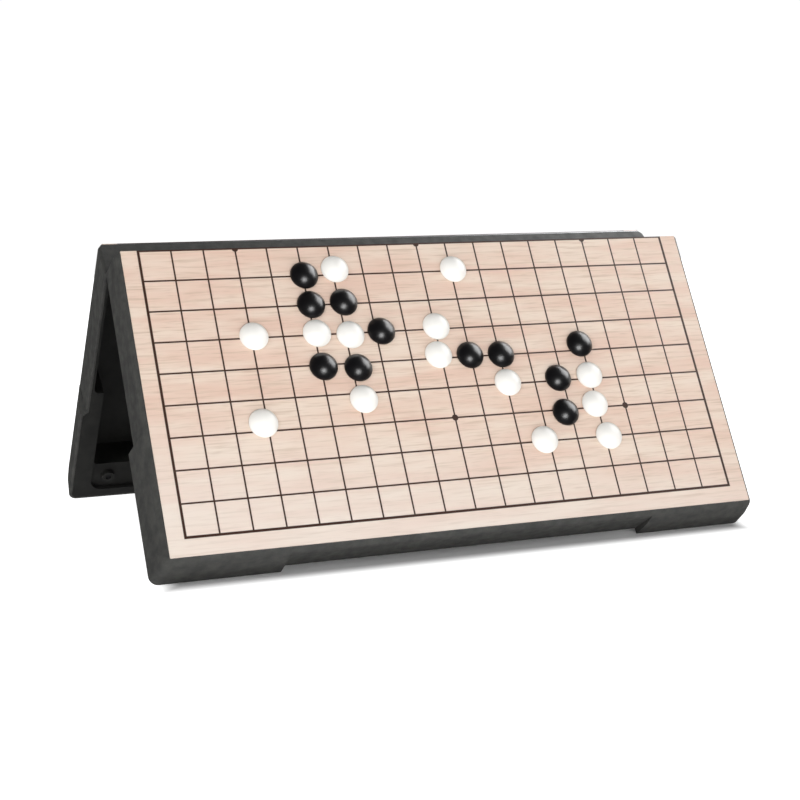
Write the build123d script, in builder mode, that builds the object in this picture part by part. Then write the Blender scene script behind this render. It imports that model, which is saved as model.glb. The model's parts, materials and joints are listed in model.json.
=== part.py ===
from build123d import *
import os
from math import atan, cos, radians, sin

os.makedirs("parts", exist_ok=True)

# Folding magnetic weiqi set, standing half open like a tent on its far edges.
# Millimetres. X runs along the fold, -Y is the front, Z is up.
# The origin is on the table, under the middle of the fold.
# Each half is drawn in its own leaf frame: x along the fold, y = 0 at the hinge axis
# and negative down the board, z = 0 at the hinge axis and growing out to the board face.

# Grid and printed sheet
columns = 19
rows_below_fold = 9
cell_width = 14.5
cell_height = 14.4
first_row = 0.45
side_margin = 8.2
end_margin = 8.05
print_shift = -0.5
sheet_thickness = 0.5
sheet_corner = 0.5
plate_thickness = 0.4
sheet_clearance = 0.1

# Case mouldings
fold_angle = 65.0
fold_gap = 0.15
leaf_depth = 20.4
lip = 0.5
lip_corner = 1.5
shoulder_depth = 2.5
shoulder_flare = 2.25
shoulder_corner = 3.2
rim_flare = 2.6
rim_corner = 3.6
wall = 1.5
face_wall = 1.6
face_round = 0.4
shoulder_round = 4.0
rim_round = 0.8
hollow_overrun = 1.0
fold_corner_round = 1.5
fold_corner_overrun = 0.02
same_height = 0.01

# Corner pads, which swell out beyond the walls from the shoulder to the rim
pad_start = 82.8
pad_ramp = 2.8
pad_reach = 51.6
pad_corner = 4.0
pad_middle_depth = 10.0
pad_middle_flare = 4.1
pad_middle_round = 10.0
pad_draft_rise = 10.25
pad_draft_run = 1.2

# Inner moulding with the storage pocket
liner_clearance = 0.1
liner_wall = 1.0
liner_floor = 1.2
liner_floor_gap = 0.3
flange_thickness = 1.6
pocket_step = 72.7
pocket_end = 122.2
pocket_corner = 3.0
end_flange = 10.1
ledge_depth = 2.5
ledge_end_margin = 0.5
ledge_corner = 6.0

# Screws that hold the inner moulding
screw_places = (-100.0, -38.0, 38.0, 100.0)
screw_radius = 1.1
screw_length = 9.0
screw_head_radius = 2.1
screw_head_height = 1.4
screw_slot_width = 0.6
screw_slot_length = 2.9
screw_slot_depth = 0.7
pilot_clearance = 0.03
screw_hole_clearance = 0.3
post_radius = 2.8
post_gap = 0.05

# Closing magnets in round bosses on the ledge
catch_inset = 13.3
catch_boss_radius = 3.2
catch_boss_setback = 0.25
catch_magnet_radius = 1.5
catch_magnet_height = 2.0
catch_magnet_sunk = 0.7
magnet_clearance = 0.05

# Hinge knuckles and pins
hinge_place = 95.0
knuckle_count = 5
knuckle_width = 8.0
knuckle_gap = 0.3
barrel_radius = 2.6
barrel_clearance = 0.3
pin_radius = 0.9
pin_hold_clearance = 0.02
pin_run_clearance = 0.05
pin_setback = 0.5

# Stones
stone_radius = 6.5
stone_height = 4.4
stone_rim_height = 1.1
stone_base_bevel = 0.5
stone_shoulder_round = 1.5
stone_magnet_radius = 3.0
stone_magnet_height = 1.2

# Each stone: column and row counted from 0 at the left end of the fold line,
# then how far its player has set it off the crossing, across and down the board.
white_places = (
    (6, 1, 1.0, -2.5),
    (10, 1, 1.0, -0.5),
    (3, 3, 1.0, -0.5),
    (5, 3, 1.0, -0.5),
    (6, 3, 2.0, 1.0),
    (9, 3, 0.5, -1.0),
    (9, 4, -1.5, -1.5),
    (6, 5, 2.0, 3.0),
    (3, 6, -2.0, -3.5),
    (11, 5, 0.5, -0.5),
    (14, 5, -0.5, -1.5),
    (14, 6, -1.5, -1.5),
    (14, 7, 1.5, 0.0),
    (12, 7, -2.5, -0.5),
)
black_places = (
    (5, 1, 0.5, 0.0),
    (5, 2, 1.0, 0.0),
    (6, 2, 2.0, -0.5),
    (7, 3, 2.5, 0.0),
    (5, 4, 1.0, 1.0),
    (6, 4, 2.5, 2.5),
    (10, 4, -0.5, -0.5),
    (11, 4, 0.5, 0.0),
    (14, 4, -1.5, -3.0),
    (13, 5, -2.5, -1.0),
    (13, 6, -3.0, 1.5),
)

# Sizes that follow from the ones above
sheet_width = (columns - 1) * cell_width + 2 * side_margin
sheet_length = first_row + rows_below_fold * cell_height + end_margin
rim = fold_gap
shoulder = leaf_depth - shoulder_depth
pad_middle = leaf_depth - pad_middle_depth
pad_flare = pad_middle_flare + pad_draft_run * (pad_middle - rim) / pad_draft_rise
wall_slope = (rim_flare - shoulder_flare) / (shoulder - rim)
recess_floor = leaf_depth - sheet_thickness - plate_thickness
face_inside = recess_floor - face_wall
tray_top = face_inside - liner_floor_gap
pocket_top = tray_top - liner_floor
liner_inset = wall + liner_clearance
pocket_near = fold_gap + liner_inset + liner_wall
upper_half = sheet_width / 2 + rim_flare - liner_inset - liner_wall
lower_half = sheet_width / 2 + pad_flare - end_flange
ledge_level = rim + ledge_depth
ledge_under = ledge_level + liner_floor
ledge_end = sheet_length - ledge_end_margin
ledge_row = -(pocket_end + ledge_end) / 2
catch_place = sheet_width / 2 - catch_inset
hinge_length = knuckle_count * knuckle_width + (knuckle_count - 1) * knuckle_gap
far = 2 * (sheet_length + sheet_width)

# The tent: both leaves lean by half the fold angle and stand on the round of their rims
lean = radians(fold_angle / 2)
pad_lean = atan((pad_flare - pad_middle_flare) / (pad_middle - rim))
foot_flare = pad_flare - rim_round * (1 + sin(pad_lean)) / cos(pad_lean)
hinge_height = (
    (sheet_length + foot_flare) * cos(lean) - (rim + rim_round) * sin(lean) + rim_round
)
hinge_point = Vector(0, 0, hinge_height)
front_leaf = Plane(origin=hinge_point, x_dir=(1, 0, 0), z_dir=(0, -cos(lean), sin(lean)))
back_leaf = Plane(origin=hinge_point, x_dir=(-1, 0, 0), z_dir=(0, cos(lean), sin(lean)))


# Sections of the case from the rim up to the face: height above the hinge axis,
# how far the outline stands beyond the sheet there, and its corner radius.
face_section = (leaf_depth, lip, lip_corner)
shoulder_section = (shoulder, shoulder_flare, shoulder_corner)
wall_sections = ((rim, rim_flare, rim_corner), shoulder_section, face_section)
pad_sections = (
    (rim, pad_flare, pad_corner),
    (pad_middle, pad_middle_flare, pad_corner),
    shoulder_section,
    face_section,
)


def between(sections, height):
    """Flare and corner radius at a height, on the straight line through two sections."""
    last = len(sections) - 1
    upper = next((i for i in range(1, last) if height <= sections[i][0]), last)
    low, low_flare, low_corner = sections[upper - 1]
    high, high_flare, high_corner = sections[upper]
    share = (height - low) / (high - low)
    return (
        low_flare + share * (high_flare - low_flare),
        low_corner + share * (high_corner - low_corner),
    )


def leaf_block(leaf, sections, inset, low, high):
    """Solid through the sections between two heights, set in by the given amount.
    Its plan is that of a leaf and its mirror image across the fold. A section closer
    than same_height to either end is that end."""
    bends = [s[0] for s in sections if low + same_height < s[0] < high - same_height]
    heights = [low, *bends, high]
    with BuildPart() as block:
        for height in heights:
            flare, corner = between(sections, height)
            half_width = sheet_width / 2 + flare - inset
            length = sheet_length + flare - inset
            with BuildSketch(leaf.offset(height)):
                RectangleRounded(2 * half_width, 2 * length, corner - inset)
        loft(ruled=True)
    return block.part


def outer_block(leaf, sections, bend_rounds):
    """Whole leaf through the sections, rounded at the rim, at each bend and at the face."""
    depth_axis = Axis(leaf.origin, leaf.z_dir)
    rounds = (rim_round, *bend_rounds, face_round)
    with BuildPart() as block:
        add(leaf_block(leaf, sections, 0, rim, leaf_depth))
        for index in reversed(range(len(rounds))):
            loop = block.edges().group_by(depth_axis)[2 * index]
            fillet(loop, rounds[index])
    return block.part


def pads_only(block, leaf, inset, low, high):
    """What the given block has in the two corner pads, set in by the given amount."""
    side = sheet_width / 2 + rim_flare - inset
    side_out = sheet_width / 2 + pad_flare - inset
    start = pad_start + inset
    reach = sheet_width / 2 - pad_reach + inset
    bottom = sheet_length + 2 * pad_flare
    with BuildPart() as pads:
        add(block)
        with BuildSketch(leaf.offset(low)):
            with BuildLine():
                Polyline(
                    (reach, -start),
                    (side, -start),
                    (side_out, -start - pad_ramp),
                    (side_out + pad_flare, -start - pad_ramp),
                    (side_out + pad_flare, -bottom),
                    (reach, -bottom),
                    close=True,
                )
            make_face()
            mirror(about=Plane.YZ)
        extrude(amount=high - low, mode=Mode.INTERSECT)
    return pads.part


def beyond_fold(leaf, gap):
    """Everything on the far side of a plane that stands a gap short of the hinge axis."""
    with BuildPart() as cutter:
        with BuildSketch(leaf.offset(-far / 2)):
            with Locations((0, -gap)):
                Rectangle(far, far, align=(Align.CENTER, Align.MIN))
        extrude(amount=far)
    return cutter.part


def fold_corners(leaf):
    """What rounds off the two ends of the fold face, all the way up the walls."""
    reach = fold_corner_round + fold_corner_overrun
    centre = -fold_gap - fold_corner_round
    with BuildPart() as corners:
        for height in (rim - hollow_overrun, shoulder, leaf_depth + hollow_overrun):
            flare, _ = between(wall_sections, height)
            middle = sheet_width / 2 + flare - fold_corner_round
            with BuildSketch(leaf.offset(height)):
                with BuildLine():
                    RadiusArc((middle, centre + reach), (middle + reach, centre), reach)
                    Polyline(
                        (middle + reach, centre),
                        (middle + 2 * reach, centre),
                        (middle + 2 * reach, centre + 2 * reach),
                        (middle, centre + 2 * reach),
                        (middle, centre + reach),
                    )
                make_face()
        loft(ruled=True)
        mirror(about=Plane(origin=leaf.origin, x_dir=leaf.y_dir, z_dir=leaf.x_dir))
    return corners.part


def tapered_box(leaf, half, near, end, low, high, grow, corner):
    """Box with the walls' draft, from near to end down the board, grown outwards."""
    with BuildPart() as box:
        for height in (low, high):
            spare = grow - wall_slope * (height - rim)
            with BuildSketch(leaf.offset(height)):
                with Locations((0, -(near + end) / 2)):
                    RectangleRounded(2 * (half + spare), end - near + 2 * spare, corner + grow)
        loft(ruled=True)
    return box.part


def knuckle_start(index):
    """Left end of a knuckle, counted from the left end of its hinge."""
    return index * (knuckle_width + knuckle_gap) - hinge_length / 2


def fold_axis_rods(leaf, starts, length, radius):
    """Round rods on the hinge axis at both hinges."""
    with BuildPart() as rods:
        for side in (-hinge_place, hinge_place):
            for start in starts:
                at = leaf.origin + leaf.x_dir * (side + start)
                with BuildSketch(Plane(origin=at, x_dir=leaf.y_dir, z_dir=leaf.x_dir)):
                    Circle(radius)
                extrude(amount=length)
    return rods.part


front_knuckles = [knuckle_start(i) for i in range(0, knuckle_count, 2)]
back_knuckles = [knuckle_start(i) for i in range(1, knuckle_count, 2)]


def make_shell(leaf, own, other, bore_clearance):
    """Outer moulding of a half: face, drafted walls, corner pads, screw posts, knuckles."""
    hollow_low = rim - hollow_overrun
    outer = outer_block(leaf, wall_sections, (shoulder_round,))
    padded = outer_block(leaf, pad_sections, (pad_middle_round, shoulder_round))
    pads = pads_only(padded, leaf, 0, rim, leaf_depth)
    inner = leaf_block(leaf, wall_sections, wall, hollow_low, face_inside)
    inner_padded = leaf_block(leaf, pad_sections, wall, hollow_low, face_inside)
    inner_pads = pads_only(inner_padded, leaf, wall, hollow_low, face_inside)
    barrels = fold_axis_rods(leaf, own, knuckle_width, barrel_radius)
    gap_starts = [start - knuckle_gap for start in other]
    notches = fold_axis_rods(
        leaf, gap_starts, knuckle_width + 2 * knuckle_gap, barrel_radius + barrel_clearance
    )
    bores = fold_axis_rods(leaf, own, knuckle_width, pin_radius + bore_clearance)
    with BuildPart() as hollow:
        add(inner)
        add(inner_pads)
        add(beyond_fold(leaf, fold_gap + wall), mode=Mode.SUBTRACT)
    with BuildPart() as shell:
        add(outer)
        add(pads)
        add(beyond_fold(leaf, fold_gap), mode=Mode.SUBTRACT)
        add(fold_corners(leaf), mode=Mode.SUBTRACT)
        add(hollow.part, mode=Mode.SUBTRACT)
        with BuildSketch(leaf.offset(recess_floor)):
            RectangleRounded(
                sheet_width + 2 * sheet_clearance,
                2 * (sheet_length + sheet_clearance),
                sheet_corner + sheet_clearance,
            )
        extrude(amount=leaf_depth, mode=Mode.SUBTRACT)
        with BuildSketch(leaf.offset(ledge_under + post_gap)):
            with Locations(*[(x, ledge_row) for x in screw_places]):
                Circle(post_radius)
        extrude(amount=face_inside - ledge_under)
        with BuildSketch(leaf.offset(ledge_under)):
            with Locations(*[(x, ledge_row) for x in screw_places]):
                Circle(screw_radius + pilot_clearance)
        extrude(amount=screw_length, mode=Mode.SUBTRACT)
        add(notches, mode=Mode.SUBTRACT)
        add(barrels)
        add(bores, mode=Mode.SUBTRACT)
    return shell.part


def make_liner(leaf):
    """Inner moulding: rim flange, storage pocket, lowered ledge and magnet bosses."""
    flange_top = rim + flange_thickness
    flange = leaf_block(leaf, wall_sections, liner_inset, rim, flange_top)
    padded = leaf_block(leaf, pad_sections, liner_inset, rim, flange_top)
    tray_upper = tapered_box(
        leaf, upper_half, pocket_near, pocket_step, rim, tray_top, liner_wall, pocket_corner
    )
    tray_lower = tapered_box(
        leaf, lower_half, pocket_near, pocket_end, rim, tray_top, liner_wall, pocket_corner
    )
    upper = tapered_box(
        leaf, upper_half, pocket_near, pocket_step, rim, pocket_top, 0, pocket_corner
    )
    lower = tapered_box(
        leaf, lower_half, pocket_near, pocket_end, rim, pocket_top, 0, pocket_corner
    )
    ledge_near = pocket_end - 2 * ledge_corner
    all_knuckles = fold_axis_rods(
        leaf, [-hinge_length / 2 - knuckle_gap], hinge_length + 2 * knuckle_gap,
        barrel_radius + barrel_clearance,
    )
    catch_places = [(-catch_place, ledge_row), (catch_place, ledge_row)]
    with BuildPart() as liner:
        add(pads_only(padded, leaf, liner_inset, rim, flange_top))
        add(flange)
        add(beyond_fold(leaf, fold_gap + liner_inset), mode=Mode.SUBTRACT)
        add(tray_upper)
        add(tray_lower)
        with BuildSketch(leaf.offset(rim)):
            with Locations((0, -(ledge_near + ledge_end) / 2)):
                RectangleRounded(
                    2 * (lower_half + liner_wall),
                    ledge_end - ledge_near + 2 * liner_wall,
                    ledge_corner + liner_wall,
                )
        extrude(amount=ledge_under - rim)
        with BuildSketch(leaf.offset(rim)):
            with Locations((0, -(ledge_near + ledge_end) / 2)):
                RectangleRounded(2 * lower_half, ledge_end - ledge_near, ledge_corner)
        extrude(amount=ledge_depth, mode=Mode.SUBTRACT)
        add(upper, mode=Mode.SUBTRACT)
        add(lower, mode=Mode.SUBTRACT)
        with BuildSketch(leaf.offset(rim + catch_boss_setback)):
            with Locations(*catch_places):
                Circle(catch_boss_radius)
        extrude(amount=ledge_under - rim - catch_boss_setback)
        with BuildSketch(leaf.offset(rim + catch_boss_setback)):
            with Locations(*catch_places):
                Circle(catch_magnet_radius + magnet_clearance)
        extrude(
            amount=catch_magnet_sunk + catch_magnet_height + magnet_clearance,
            mode=Mode.SUBTRACT,
        )
        with BuildSketch(leaf.offset(ledge_level)):
            with Locations(*[(x, ledge_row) for x in screw_places]):
                Circle(screw_radius + screw_hole_clearance)
        extrude(amount=liner_floor, mode=Mode.SUBTRACT)
        add(all_knuckles, mode=Mode.SUBTRACT)
    return liner.part


def make_screws(leaf):
    """Four pan head screws, heads on the ledge, shanks in the shell's posts."""
    with BuildPart() as screws:
        with BuildSketch(leaf.offset(ledge_level)):
            with Locations(*[(x, ledge_row) for x in screw_places]):
                Circle(screw_head_radius)
        extrude(amount=-screw_head_height)
        with BuildSketch(leaf.offset(ledge_level)):
            with Locations(*[(x, ledge_row) for x in screw_places]):
                Circle(screw_radius)
        extrude(amount=screw_length)
        with BuildSketch(leaf.offset(ledge_level - screw_head_height)):
            with Locations(*[(x, ledge_row) for x in screw_places]):
                Rectangle(screw_slot_length, screw_slot_width)
                Rectangle(screw_slot_width, screw_slot_length)
        extrude(amount=screw_slot_depth, mode=Mode.SUBTRACT)
    return screws.part


def make_catch_magnets(leaf):
    """The pair of closing magnets in a leaf's bosses."""
    with BuildPart() as magnets:
        with BuildSketch(leaf.offset(rim + catch_boss_setback + catch_magnet_sunk)):
            with Locations((-catch_place, ledge_row), (catch_place, ledge_row)):
                Circle(catch_magnet_radius)
        extrude(amount=catch_magnet_height)
    return magnets.part


def make_layer(leaf, low, thickness):
    """A flat layer in the face recess: the steel plate or the printed sheet."""
    with BuildPart() as layer:
        with BuildSketch(leaf.offset(low)):
            RectangleRounded(sheet_width, 2 * sheet_length, sheet_corner)
        extrude(amount=thickness)
        add(beyond_fold(leaf, fold_gap), mode=Mode.SUBTRACT)
    return layer.part


def make_stone(leaf, column, row, across, down):
    """One stone: a domed moulding with a round pocket, and the magnet in it."""
    x = (column - (columns - 1) / 2) * cell_width + print_shift + across
    y = -first_row - row * cell_height - down
    foot = leaf.origin + leaf.x_dir * x + leaf.y_dir * y + leaf.z_dir * leaf_depth
    section = Plane(origin=foot, x_dir=leaf.x_dir, z_dir=-leaf.y_dir)
    pocket_radius = stone_magnet_radius + magnet_clearance
    pocket_height = stone_magnet_height + magnet_clearance
    with BuildPart() as stone:
        with BuildSketch(section) as dome:
            with BuildLine():
                Polyline(
                    (0, stone_height),
                    (0, pocket_height),
                    (pocket_radius, pocket_height),
                    (pocket_radius, 0),
                    (stone_radius - stone_base_bevel, 0),
                    (stone_radius, stone_base_bevel),
                    (stone_radius, stone_rim_height),
                )
                TangentArc(
                    (0, stone_height), (stone_radius, stone_rim_height), tangent=(1, 0)
                )
            make_face()
            rim_corner = (stone_radius, stone_rim_height)
            fillet(dome.vertices().sort_by_distance(rim_corner)[0], stone_shoulder_round)
        revolve(axis=Axis(foot, leaf.z_dir))
        with BuildSketch(section):
            Rectangle(
                stone_magnet_radius, stone_magnet_height, align=(Align.MIN, Align.MIN)
            )
        revolve(axis=Axis(foot, leaf.z_dir))
    return stone.part


def save(piece, name):
    """Label a finished piece and write its file."""
    piece.label = name
    export_step(piece, f"parts/{name}.step")


save(make_shell(front_leaf, front_knuckles, back_knuckles, pin_hold_clearance), "front_shell")
save(make_shell(back_leaf, back_knuckles, front_knuckles, pin_run_clearance), "back_shell")

for leaf, half in ((front_leaf, "front"), (back_leaf, "back")):
    save(make_liner(leaf), f"{half}_liner")
    save(make_screws(leaf), f"{half}_liner_screws")
    save(make_catch_magnets(leaf), f"{half}_closing_magnets")
    save(make_layer(leaf, recess_floor, plate_thickness), f"{half}_steel_plate")
    save(
        make_layer(leaf, recess_floor + plate_thickness, sheet_thickness),
        f"{half}_board_sheet",
    )

for side, name in ((-hinge_place, "hinge_pin_left"), (hinge_place, "hinge_pin_right")):
    with BuildPart() as pin:
        left_end = hinge_point + Vector(side - hinge_length / 2 + pin_setback, 0, 0)
        with BuildSketch(Plane(origin=left_end, x_dir=(0, 1, 0), z_dir=(1, 0, 0))):
            Circle(pin_radius)
        extrude(amount=hinge_length - 2 * pin_setback)
    save(pin.part, name)

for colour, places in (("white", white_places), ("black", black_places)):
    for number, place in enumerate(places, start=1):
        save(make_stone(front_leaf, *place), f"{colour}_stone_{number:02d}")
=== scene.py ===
import json
import math

import bpy
import numpy as np
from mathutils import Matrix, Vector


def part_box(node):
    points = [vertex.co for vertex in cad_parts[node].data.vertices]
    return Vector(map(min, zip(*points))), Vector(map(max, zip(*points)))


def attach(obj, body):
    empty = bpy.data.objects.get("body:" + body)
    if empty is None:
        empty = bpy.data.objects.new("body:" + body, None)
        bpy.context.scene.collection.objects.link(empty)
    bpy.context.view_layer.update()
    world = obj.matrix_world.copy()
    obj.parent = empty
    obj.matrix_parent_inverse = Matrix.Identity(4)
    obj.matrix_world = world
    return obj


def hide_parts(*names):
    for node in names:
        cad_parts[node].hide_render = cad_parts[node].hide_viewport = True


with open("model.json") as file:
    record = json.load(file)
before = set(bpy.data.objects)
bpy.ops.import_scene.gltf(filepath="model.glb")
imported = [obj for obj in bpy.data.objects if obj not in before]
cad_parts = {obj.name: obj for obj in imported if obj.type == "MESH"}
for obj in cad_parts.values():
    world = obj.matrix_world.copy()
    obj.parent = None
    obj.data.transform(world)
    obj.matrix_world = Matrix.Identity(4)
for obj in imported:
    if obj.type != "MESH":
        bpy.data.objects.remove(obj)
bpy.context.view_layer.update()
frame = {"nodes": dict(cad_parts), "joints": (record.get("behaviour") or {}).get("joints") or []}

# The room: white paper on the floor and behind, and a dark room around them. The right
# softbox gives the black stones their bright right edges, the front one their soft
# highlight. The other two only shed light: the left one draws the stones' shadows.


def linear(code):
    """A hex sRGB colour as linear RGBA: each channel goes through the sRGB curve."""
    share = np.array([int(code[i : i + 2], 16) for i in (1, 3, 5)]) / 255
    low = share / 12.92
    high = ((share + 0.055) / 1.055) ** 2.4
    return (*np.where(share <= 0.04045, low, high), 1.0)


def empty_material(name):
    """A new material with no nodes in it."""
    material = bpy.data.materials.new(name)
    material.use_nodes = True
    material.node_tree.nodes.clear()
    return material


def add_node(material, kind, settings=None, inputs=None):
    """Adds a node. Settings are its properties, inputs its sockets: a value or another output."""
    made = material.node_tree.nodes.new(kind)
    for name, value in (settings or {}).items():
        setattr(made, name, value)
    for name, value in (inputs or {}).items():
        if isinstance(value, bpy.types.NodeSocket):
            material.node_tree.links.new(value, made.inputs[name])
        else:
            made.inputs[name].default_value = value
    return made


def calculate(material, operation, *values):
    """The result of a Math node: each value is a number or another node's output."""
    settings = {"operation": operation}
    return add_node(material, "ShaderNodeMath", settings, dict(enumerate(values))).outputs[0]


def soft_step(material, value, low, high, top=1.0):
    """Rises from 0 to top while the value goes from low to high, gently at both ends."""
    return add_node(
        material,
        "ShaderNodeMapRange",
        {"interpolation_type": "SMOOTHSTEP"},
        {"Value": value, "From Min": low, "From Max": high, "To Min": 0.0, "To Max": top},
    ).outputs["Result"]


def new_mesh(name, points, faces):
    """An object at the origin whose mesh has these points, in metres, and these faces."""
    mesh = bpy.data.meshes.new(name)
    mesh.from_pydata(np.asarray(points).tolist(), [], faces)
    mesh.update()
    made = bpy.data.objects.new(name, mesh)
    bpy.context.scene.collection.objects.link(made)
    return made


lamp_aim = Vector((0.0, -0.05, 0.06))


def soft_lamp(name, place, size, power, mirrored, sheds_light=True):
    """An area lamp turned towards the board. Glossy surfaces may mirror it or not, and one
    that sheds no light is seen in them alone. One that does both is an ellipse, and the
    others are rectangles."""
    lamp = bpy.data.lights.new(name, "AREA")
    lamp.shape = "ELLIPSE" if mirrored and sheds_light else "RECTANGLE"
    lamp.size, lamp.size_y = size
    lamp.energy = power
    made = bpy.data.objects.new(name, lamp)
    made.location = place
    made.rotation_euler = (lamp_aim - Vector(place)).to_track_quat("-Z", "Y").to_euler()
    made.visible_glossy = mirrored
    made.visible_diffuse = sheds_light
    bpy.context.scene.collection.objects.link(made)


soft_lamp("right_softbox", (0.94, 0.1, 0.74), (1.15, 0.85), 19.0, True, sheds_light=False)
soft_lamp("front_softbox", (-0.07, -1.3, 0.25), (0.66, 0.54), 9.0, True)
soft_lamp("left_softbox", (-1.3, -0.9, 0.8), (0.6, 0.6), 8.8, False)
soft_lamp("top_softbox", (0.1, 0.0, 1.5), (1.0, 1.0), 2.5, False)

# The paper glows by itself, as paper lit from below does, but not under the set. There a slanted patch
# without glow is painted shadow, so that the open left side of the tent lets light in.
floor_half = 3.0
floor_drop = 0.0002
shade_half_x = 0.134
shade_shift_x = 0.0185
shade_slant = 0.195
shade_half_y = 0.08
shade_fade = 0.013
floor = new_mesh(
    "floor",
    [(x * floor_half, y * floor_half, -floor_drop) for x, y in ((-1, -1), (1, -1), (1, 1), (-1, 1))],
    [(0, 1, 2, 3)],
)
white_paper = empty_material("matt_white_paper")
paper_place = add_node(white_paper, "ShaderNodeTexCoord").outputs["Object"]
paper_axes = add_node(white_paper, "ShaderNodeSeparateXYZ", inputs={0: paper_place}).outputs


def beyond(value, middle, half):
    """How far a value lies outside the span that reaches half to each side of the middle."""
    away = calculate(white_paper, "ABSOLUTE", calculate(white_paper, "SUBTRACT", value, middle))
    return calculate(white_paper, "SUBTRACT", away, half)


slant = calculate(white_paper, "MULTIPLY", paper_axes["Y"], shade_slant)
across = calculate(white_paper, "SUBTRACT", paper_axes["X"], slant)
outside_painted_shadow = calculate(
    white_paper,
    "MAXIMUM",
    beyond(across, shade_shift_x, shade_half_x),
    beyond(paper_axes["Y"], 0.0, shade_half_y),
)
# The glow fades to nothing inside the patch: a painted shadow under the set.
paper_glow_around_painted_shadow = soft_step(white_paper, outside_painted_shadow, 0.0, shade_fade)
paper_shader = add_node(
    white_paper,
    "ShaderNodeBsdfPrincipled",
    inputs={"Base Color": linear("#f4f4f4"), "Roughness": 0.9, "Specular IOR Level": 0.1,
            "Emission Color": (1, 1, 1, 1), "Emission Strength": paper_glow_around_painted_shadow},
)
add_node(white_paper, "ShaderNodeOutputMaterial", inputs={"Surface": paper_shader.outputs[0]})
floor.data.materials.append(white_paper)
floor.visible_glossy = False

# The backdrop is lit from behind, a little past white, so that no lamp shades it.
backdrop_behind = 1.0
backdrop_high = 2.0
backdrop_glow = 1.02
backdrop = new_mesh(
    "backdrop",
    [(-floor_half, backdrop_behind, -floor_drop), (floor_half, backdrop_behind, -floor_drop),
     (floor_half, backdrop_behind, backdrop_high), (-floor_half, backdrop_behind, backdrop_high)],
    [(0, 1, 2, 3)],
)
lit_paper = empty_material("backlit_white_paper")
glow = add_node(lit_paper, "ShaderNodeEmission", inputs={"Color": (1, 1, 1, 1), "Strength": backdrop_glow})
add_node(lit_paper, "ShaderNodeOutputMaterial", inputs={"Surface": glow.outputs[0]})
backdrop.data.materials.append(lit_paper)
backdrop.visible_glossy = False

room_light = 0.05
room = bpy.data.worlds.new("dark_room")
room.use_nodes = True
room_air = room.node_tree.nodes["Background"].inputs
room_air["Color"].default_value = (1, 1, 1, 1)
room_air["Strength"].default_value = room_light
bpy.context.scene.world = room
bpy.context.scene.view_settings.view_transform = "Standard"

# The camera stands where the photographer's did, left of the set and above it.
camera = bpy.data.objects.new("camera", bpy.data.cameras.new("camera"))
camera.data.sensor_width = 36.0
camera.data.lens = 74.89
camera.data.clip_end = 50.0
camera.location = (-0.30967, -0.71918, 0.20351)
camera.rotation_euler = [math.radians(a) for a in (79.231, -0.7274, -23.1729)]
bpy.context.scene.collection.objects.link(camera)
bpy.context.scene.camera = camera

# The two outer mouldings: black ABS, injection moulded in a spark-eroded tool.
# That gives a charcoal skin with a fine grit, a faint mottle where the melt cooled,
# and no shine except where an edge turns to the lamps.
mottle_dark, mottle_light = 0.32, 0.68
gloss_swing = 0.08


def moulded_abs(name, colours, roughness, grit_mm, grit_depth_mm, mottle_mm):
    """Spark-eroded plastic: grit as bump, and a slow mottle between two colours that is
    also a little smoother where it is lighter."""
    material = empty_material(name)
    place = add_node(material, "ShaderNodeTexCoord").outputs["Object"]
    mottle = add_node(
        material,
        "ShaderNodeTexNoise",
        inputs={"Vector": place, "Scale": 1000 / mottle_mm, "Detail": 3.0, "Roughness": 0.6},
    ).outputs["Fac"]
    grit = add_node(
        material,
        "ShaderNodeTexNoise",
        inputs={"Vector": place, "Scale": 1000 / grit_mm, "Detail": 2.0, "Roughness": 0.55},
    ).outputs["Fac"]
    tone = add_node(material, "ShaderNodeValToRGB", inputs={"Fac": mottle})
    for stop, position, colour in zip(
        tone.color_ramp.elements, (mottle_dark, mottle_light), colours
    ):
        stop.position = position
        stop.color = linear(colour)
    gloss = add_node(
        material,
        "ShaderNodeMapRange",
        inputs={"Value": mottle, "From Min": 0.3, "From Max": 0.7,
                "To Min": roughness + gloss_swing, "To Max": roughness - gloss_swing},
    ).outputs["Result"]
    bump = add_node(
        material,
        "ShaderNodeBump",
        inputs={"Height": grit, "Strength": 1.0, "Distance": grit_depth_mm / 1000},
    ).outputs["Normal"]
    shader = add_node(
        material,
        "ShaderNodeBsdfPrincipled",
        inputs={"Base Color": tone.outputs["Color"], "Roughness": gloss, "Normal": bump, "IOR": 1.53},
    )
    add_node(material, "ShaderNodeOutputMaterial", inputs={"Surface": shader.outputs[0]})
    return material


def wear(material, *nodes):
    """The CAD nodes take this material in every slot."""
    for name in nodes:
        slots = frame["nodes"][name].material_slots
        if not slots:
            frame["nodes"][name].data.materials.append(material)
        for slot in slots:
            slot.material = material


# Real spark grit is about 0.1 mm, too fine to show, so it is drawn at 0.8 mm here, and
# coarser or finer on the other mouldings.
case_abs = moulded_abs("spark_eroded_black_abs", ("#353534", "#434340"), 0.62, 0.8, 0.05, 5.0)
wear(case_abs, "front_shell", "back_shell")

# The two inner mouldings: the same ABS, a little smoother, as a tool's core side is, and darker, which is
# painted shade for the pockets inside the tent. Each forms a pocket for the stones, and is held by four
# screws.
shaded_liner_abs = moulded_abs("smooth_black_abs_painted_darker", ("#20201f", "#292927"), 0.42, 1.2, 0.02, 8.0)
wear(shaded_liner_abs, "front_liner", "back_liner")

# The closing magnets, sunk in the round bosses on the ledge: sintered ferrite, a dark grey
# ceramic that is ground flat, pressed in from the rim side.
ferrite = moulded_abs("ground_sintered_ferrite", ("#151517", "#1f1f21"), 0.45, 0.6, 0.02, 2.0)
wear(ferrite, "front_closing_magnets", "back_closing_magnets")

# The pan head screws on the ledge, the hinge pins and the sheet steel plates behind the
# board: bright zinc on steel, which gives a soft grey shine with a faint spangle.
crystal_swing = 0.07


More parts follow.
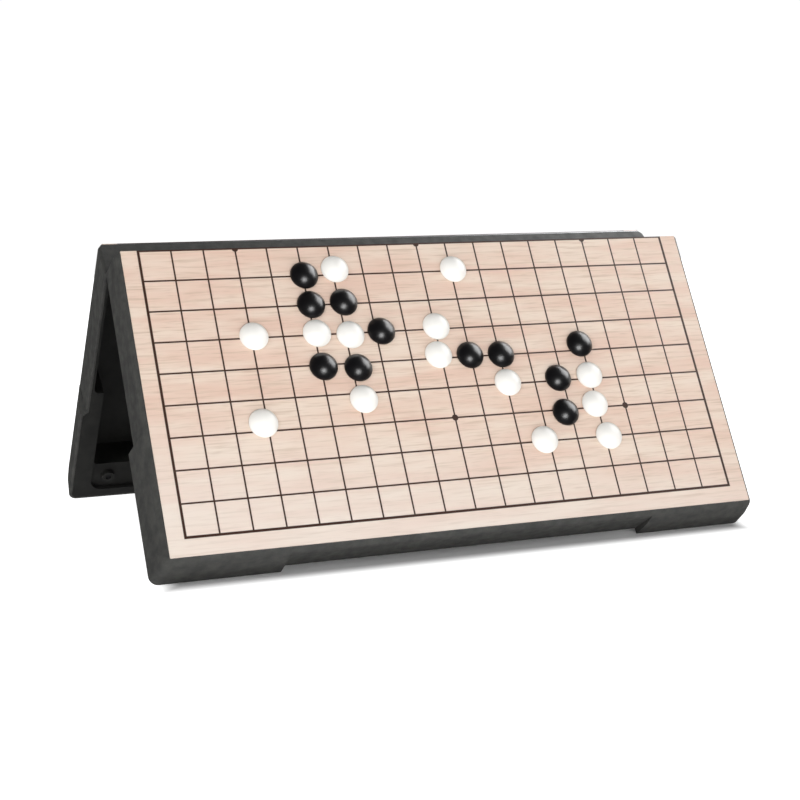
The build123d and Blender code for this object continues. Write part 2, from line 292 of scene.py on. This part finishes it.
def zinc_steel(name, colour, roughness, spangle_mm):
    """Zinc-plated steel: metal whose roughness varies from crystal to crystal."""
    material = empty_material(name)
    place = add_node(material, "ShaderNodeTexCoord").outputs["Object"]
    spangle = add_node(
        material,
        "ShaderNodeTexVoronoi",
        inputs={"Vector": place, "Scale": 1000 / spangle_mm},
    ).outputs["Color"]
    level = add_node(material, "ShaderNodeSeparateColor", inputs={"Color": spangle}).outputs[0]
    gloss = add_node(
        material,
        "ShaderNodeMapRange",
        inputs={"Value": level, "To Min": roughness - crystal_swing,
                "To Max": roughness + crystal_swing},
    ).outputs["Result"]
    shader = add_node(
        material,
        "ShaderNodeBsdfPrincipled",
        inputs={"Base Color": linear(colour), "Metallic": 1.0, "Roughness": gloss},
    )
    add_node(material, "ShaderNodeOutputMaterial", inputs={"Surface": shader.outputs[0]})
    return material


screw_zinc = zinc_steel("bright_zinc_plated_screw", "#9c9da0", 0.32, 0.5)
pin_steel = zinc_steel("drawn_steel_wire", "#a4a4a6", 0.25, 0.4)
plate_steel = zinc_steel("zinc_coated_sheet_steel", "#a9abad", 0.38, 4.0)
magnet_nickel = zinc_steel("nickel_plated_magnet", "#b9b6ad", 0.2, 0.3)
for half in ("front", "back"):
    wear(screw_zinc, f"{half}_liner_screws")
    wear(plate_steel, f"{half}_steel_plate")
wear(pin_steel, "hinge_pin_left", "hinge_pin_right")

# The two board sheets: PVC printed with a pale pink-beige wood grain and a 19 line grid,
# under a satin film. The grain runs along the fold. The two halves make one grid when
# the board lies flat, and its middle line is printed at the fold on both.
hinge = next(j for j in frame["joints"] if j["name"] == "fold_hinge")
off_board = next(j for j in frame["joints"] if j["type"] == "slide")["axis"]
fold_height = hinge["pos_m"][2]
lean_cos, lean_sin = -off_board[1], off_board[2]
cell_wide_mm = 14.5
cell_high_mm = 14.4
fold_line_mm = 0.45
print_shift_mm = -0.5
last_line = 9
line_mm = 0.78
border_mm = 1.2
star_mm = 3.0
ink_edge_mm = 0.12
star_half_step = 3
# Where the board starts and stops growing lighter, its slant and how far it goes: painted light.
painted_light_from_mm = 80.0
painted_light_to_mm = 145.0
painted_light_slant = 0.15
painted_light_share = 0.46
wood_base = "#dbbdac"

# Each layer of grain: a streak's length and width in mm, its detail, the slice of noise that
# it reads, the noise where it starts and where it is full, its share and its colour.
# Streaks under 0.5 mm wide would be too fine to show, so none is drawn.
grain_layers = (
    (60.0, 9.0, 2.0, 0.0, 0.3, 0.7, 1.0, "#e1cfbf"),
    (24.0, 1.3, 2.0, 4.0, 0.48, 0.75, 0.6, "#bfa48e"),
    (9.0, 0.5, 1.0, 8.0, 0.55, 0.8, 0.4, "#b69a85"),
)


def printed_board(name):
    """Sheet print: coordinates in mm along and down the board, grain as stretched noise, and
    ink where the distance to the nearest line, to the border or to a star is under half."""
    material = empty_material(name)

    def calc(operation, *values):
        return calculate(material, operation, *values)

    def step(value, low, high, top=1.0):
        return soft_step(material, value, low, high, top)

    def ink(distance, width):
        return step(distance, width / 2 + ink_edge_mm, width / 2 - ink_edge_mm)

    def blend(factor, first, second):
        inputs = {0: factor, 6: first, 7: second}
        return add_node(material, "ShaderNodeMix", {"data_type": "RGBA"}, inputs).outputs[2]

    place = add_node(material, "ShaderNodeTexCoord").outputs["Object"]
    axes = add_node(material, "ShaderNodeSeparateXYZ", inputs={0: place}).outputs
    along = calc("MULTIPLY", axes["X"], 1000.0)
    out = calc("MULTIPLY", calc("ABSOLUTE", axes["Y"]), 1000 * lean_sin)
    drop = calc("MULTIPLY", calc("SUBTRACT", fold_height, axes["Z"]), 1000 * lean_cos)
    down = calc("ADD", out, drop)
    whole_down = calc("MULTIPLY", down, calc("SIGN", axes["Y"]))

    def grain(length_mm, width_mm, detail, layer):
        inputs = {"X": calc("DIVIDE", along, length_mm),
                  "Y": calc("DIVIDE", whole_down, width_mm), "Z": layer}
        vector = add_node(material, "ShaderNodeCombineXYZ", inputs=inputs).outputs[0]
        inputs = {"Vector": vector, "Scale": 1.0, "Detail": detail, "Roughness": 0.6}
        return add_node(material, "ShaderNodeTexNoise", inputs=inputs).outputs["Fac"]

    wood = linear(wood_base)
    for length_mm, width_mm, detail, layer, low, high, share, tone in grain_layers:
        streak = step(grain(length_mm, width_mm, detail, layer), low, high, share)
        wood = blend(streak, wood, linear(tone))

    # Painted light: the board grows lighter towards its outer edge, on the left sooner than on the right.
    pale = calc("SUBTRACT", down, calc("MULTIPLY", along, painted_light_slant))
    wood = blend(step(pale, painted_light_from_mm, painted_light_to_mm, painted_light_share), wood, linear("#e5dfd8"))

    column = calc("DIVIDE", calc("SUBTRACT", along, print_shift_mm), cell_wide_mm)
    row = calc("DIVIDE", calc("SUBTRACT", down, fold_line_mm), cell_high_mm)
    to_column = calc("MULTIPLY", calc("PINGPONG", column, 0.5), cell_wide_mm)
    to_row = calc("MULTIPLY", calc("PINGPONG", row, 0.5), cell_high_mm)
    past_side = calc("SUBTRACT", calc("ABSOLUTE", column), last_line)
    past_end = calc("SUBTRACT", row, last_line)
    past = calc("MULTIPLY", calc("MAXIMUM", past_side, past_end), cell_wide_mm)
    star_across = calc("MULTIPLY", calc("PINGPONG", column, star_half_step), cell_wide_mm)
    star_down = calc("MULTIPLY", calc("PINGPONG", row, star_half_step), cell_high_mm)
    star_far = calc("POWER", calc("ADD", calc("POWER", star_across, 2.0),
                                  calc("POWER", star_down, 2.0)), 0.5)
    inner = calc("MAXIMUM", ink(calc("MINIMUM", to_column, to_row), line_mm), ink(star_far, star_mm))
    inner = calc("MULTIPLY", inner, calc("LESS_THAN", past, 0.0))
    printed = calc("MAXIMUM", inner, ink(calc("ABSOLUTE", past), border_mm))
    colour = blend(printed, wood, linear("#33180a"))

    inputs = {"Vector": place, "Scale": 1000 / 1.5, "Detail": 1.0}
    ripple = add_node(material, "ShaderNodeTexNoise", inputs=inputs).outputs["Fac"]
    inputs = {"Height": ripple, "Strength": 1.0, "Distance": 0.00001}
    film = add_node(material, "ShaderNodeBump", inputs=inputs).outputs["Normal"]
    inputs = {"Base Color": colour, "Roughness": 0.42, "Normal": film, "IOR": 1.5}
    shader = add_node(material, "ShaderNodeBsdfPrincipled", inputs=inputs)
    add_node(material, "ShaderNodeOutputMaterial", inputs={"Surface": shader.outputs[0]})
    return material


board_print = printed_board("printed_pvc_under_satin_film")
wear(board_print, "front_board_sheet", "back_board_sheet")

# The stones: single domed polystyrene mouldings with a polished top and a round magnet
# pressed into the flat base. White ones are ivory, black ones reflect the whole room.
stone_radius = 0.0065
stone_height = 0.0044
rim_height = 0.0011
shoulder_round = 0.0015
base_bevel = 0.0005
magnet_radius = 0.003
magnet_sunk = 0.00005
around = 56


def stone_profile():
    """Half section as (radius, height) rows, from the base's middle over the rim to the top.
    The dome is an arc that is level at the top and passes the rim corner, the shoulder an
    arc that touches both the dome and the upright rim."""
    rise = stone_height - rim_height
    dome = (stone_radius**2 + rise**2) / (2 * rise)
    shoulder_in = stone_radius - shoulder_round
    turn = np.arcsin(shoulder_in / (dome - shoulder_round))
    shoulder_up = stone_height - dome + np.sqrt((dome - shoulder_round) ** 2 - shoulder_in**2)
    bend = np.linspace(np.pi / 2, turn, 9)
    crown = np.linspace(turn, 0, 15)[1:]
    base = [(0, magnet_sunk), (magnet_radius, magnet_sunk), (magnet_radius, 0),
            (stone_radius - base_bevel, 0), (stone_radius, base_bevel)]
    shoulder = np.c_[shoulder_in + shoulder_round * np.sin(bend),
                     shoulder_up + shoulder_round * np.cos(bend)]
    top = np.c_[dome * np.sin(crown), stone_height - dome + dome * np.cos(crown)]
    return np.vstack([base, shoulder, top])


def turned(name, profile, foot, across, down, up):
    """Surface of revolution: the profile's point (r, h) at turn a lies at the foot plus
    r cos a across, r sin a down the board and h off it. Both ends close in one pole."""
    turn = np.arange(around) / around * 2 * np.pi
    ring = profile[1:-1]
    swing = np.cos(turn)[:, None] * across + np.sin(turn)[:, None] * down
    body = ring[:, None, :1] * swing[None] + ring[:, None, 1:] * up
    poles = foot + np.array([profile[0, 1], profile[-1, 1]])[:, None] * up
    points = np.vstack([body.reshape(-1, 3) + foot, poles])
    one = np.arange(around)
    two = (one + 1) % around
    start = np.arange(len(ring) - 1)[:, None] * around
    quads = np.stack([start + one, start + around + one, start + around + two, start + two], -1)
    last = (len(ring) - 1) * around
    bottom = np.stack([one, two, np.full(around, len(points) - 2)], -1)
    top = np.stack([last + two, last + one, np.full(around, len(points) - 1)], -1)
    return new_mesh(name, points, quads.reshape(-1, 4).tolist() + bottom.tolist() + top.tolist())


def polished_styrene(name, colour, roughness):
    """Polished moulding: a faint slow ripple in the bump, as a shrunk dome has."""
    material = empty_material(name)
    place = add_node(material, "ShaderNodeTexCoord").outputs["Object"]
    inputs = {"Vector": place, "Scale": 1000 / 4.0, "Detail": 1.0}
    ripple = add_node(material, "ShaderNodeTexNoise", inputs=inputs).outputs["Fac"]
    inputs = {"Height": ripple, "Strength": 1.0, "Distance": 0.00004}
    bump = add_node(material, "ShaderNodeBump", inputs=inputs).outputs["Normal"]
    inputs = {"Base Color": linear(colour), "Roughness": roughness, "Normal": bump, "IOR": 1.59}
    shader = add_node(material, "ShaderNodeBsdfPrincipled", inputs=inputs)
    add_node(material, "ShaderNodeOutputMaterial", inputs={"Surface": shader.outputs[0]})
    return material


stone_look = {
    "white": polished_styrene("polished_ivory_polystyrene", "#eeece7", 0.45),
    "black": polished_styrene("polished_black_polystyrene", "#09080a", 0.3),
}
board_up = Vector(off_board)
board_down = Vector((0, -lean_sin, -lean_cos))
profile = stone_profile()
for node in sorted(n for n in frame["nodes"] if "_stone_" in n):
    low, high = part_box(node)
    # The dome's axis runs through the middle of the box across the board, and its foot
    # is where the board's face meets that axis, found from the base ring's lowest point.
    corners = np.array([v.co for v in frame["nodes"][node].data.vertices])
    heights = corners @ np.array(board_up)
    base = corners[heights < heights.min() + 1e-5]
    foot = (base.min(0) + base.max(0)) / 2
    stone = turned(f"{node}_dome", profile, foot, np.array((1.0, 0, 0)),
                   np.array(board_down), np.array(board_up))
    colour = node.split("_")[0]
    stone.data.materials.append(stone_look[colour])
    stone.data.materials.append(magnet_nickel)
    index = np.zeros(len(stone.data.polygons), int)
    index[-2 * around : -around] = 1
    stone.data.polygons.foreach_set("material_index", index)
    stone.data.polygons.foreach_set("use_smooth", np.ones(len(index), bool))
    stone.data.set_sharp_from_angle(angle=math.radians(32))
    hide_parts(node)
    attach(stone, node)
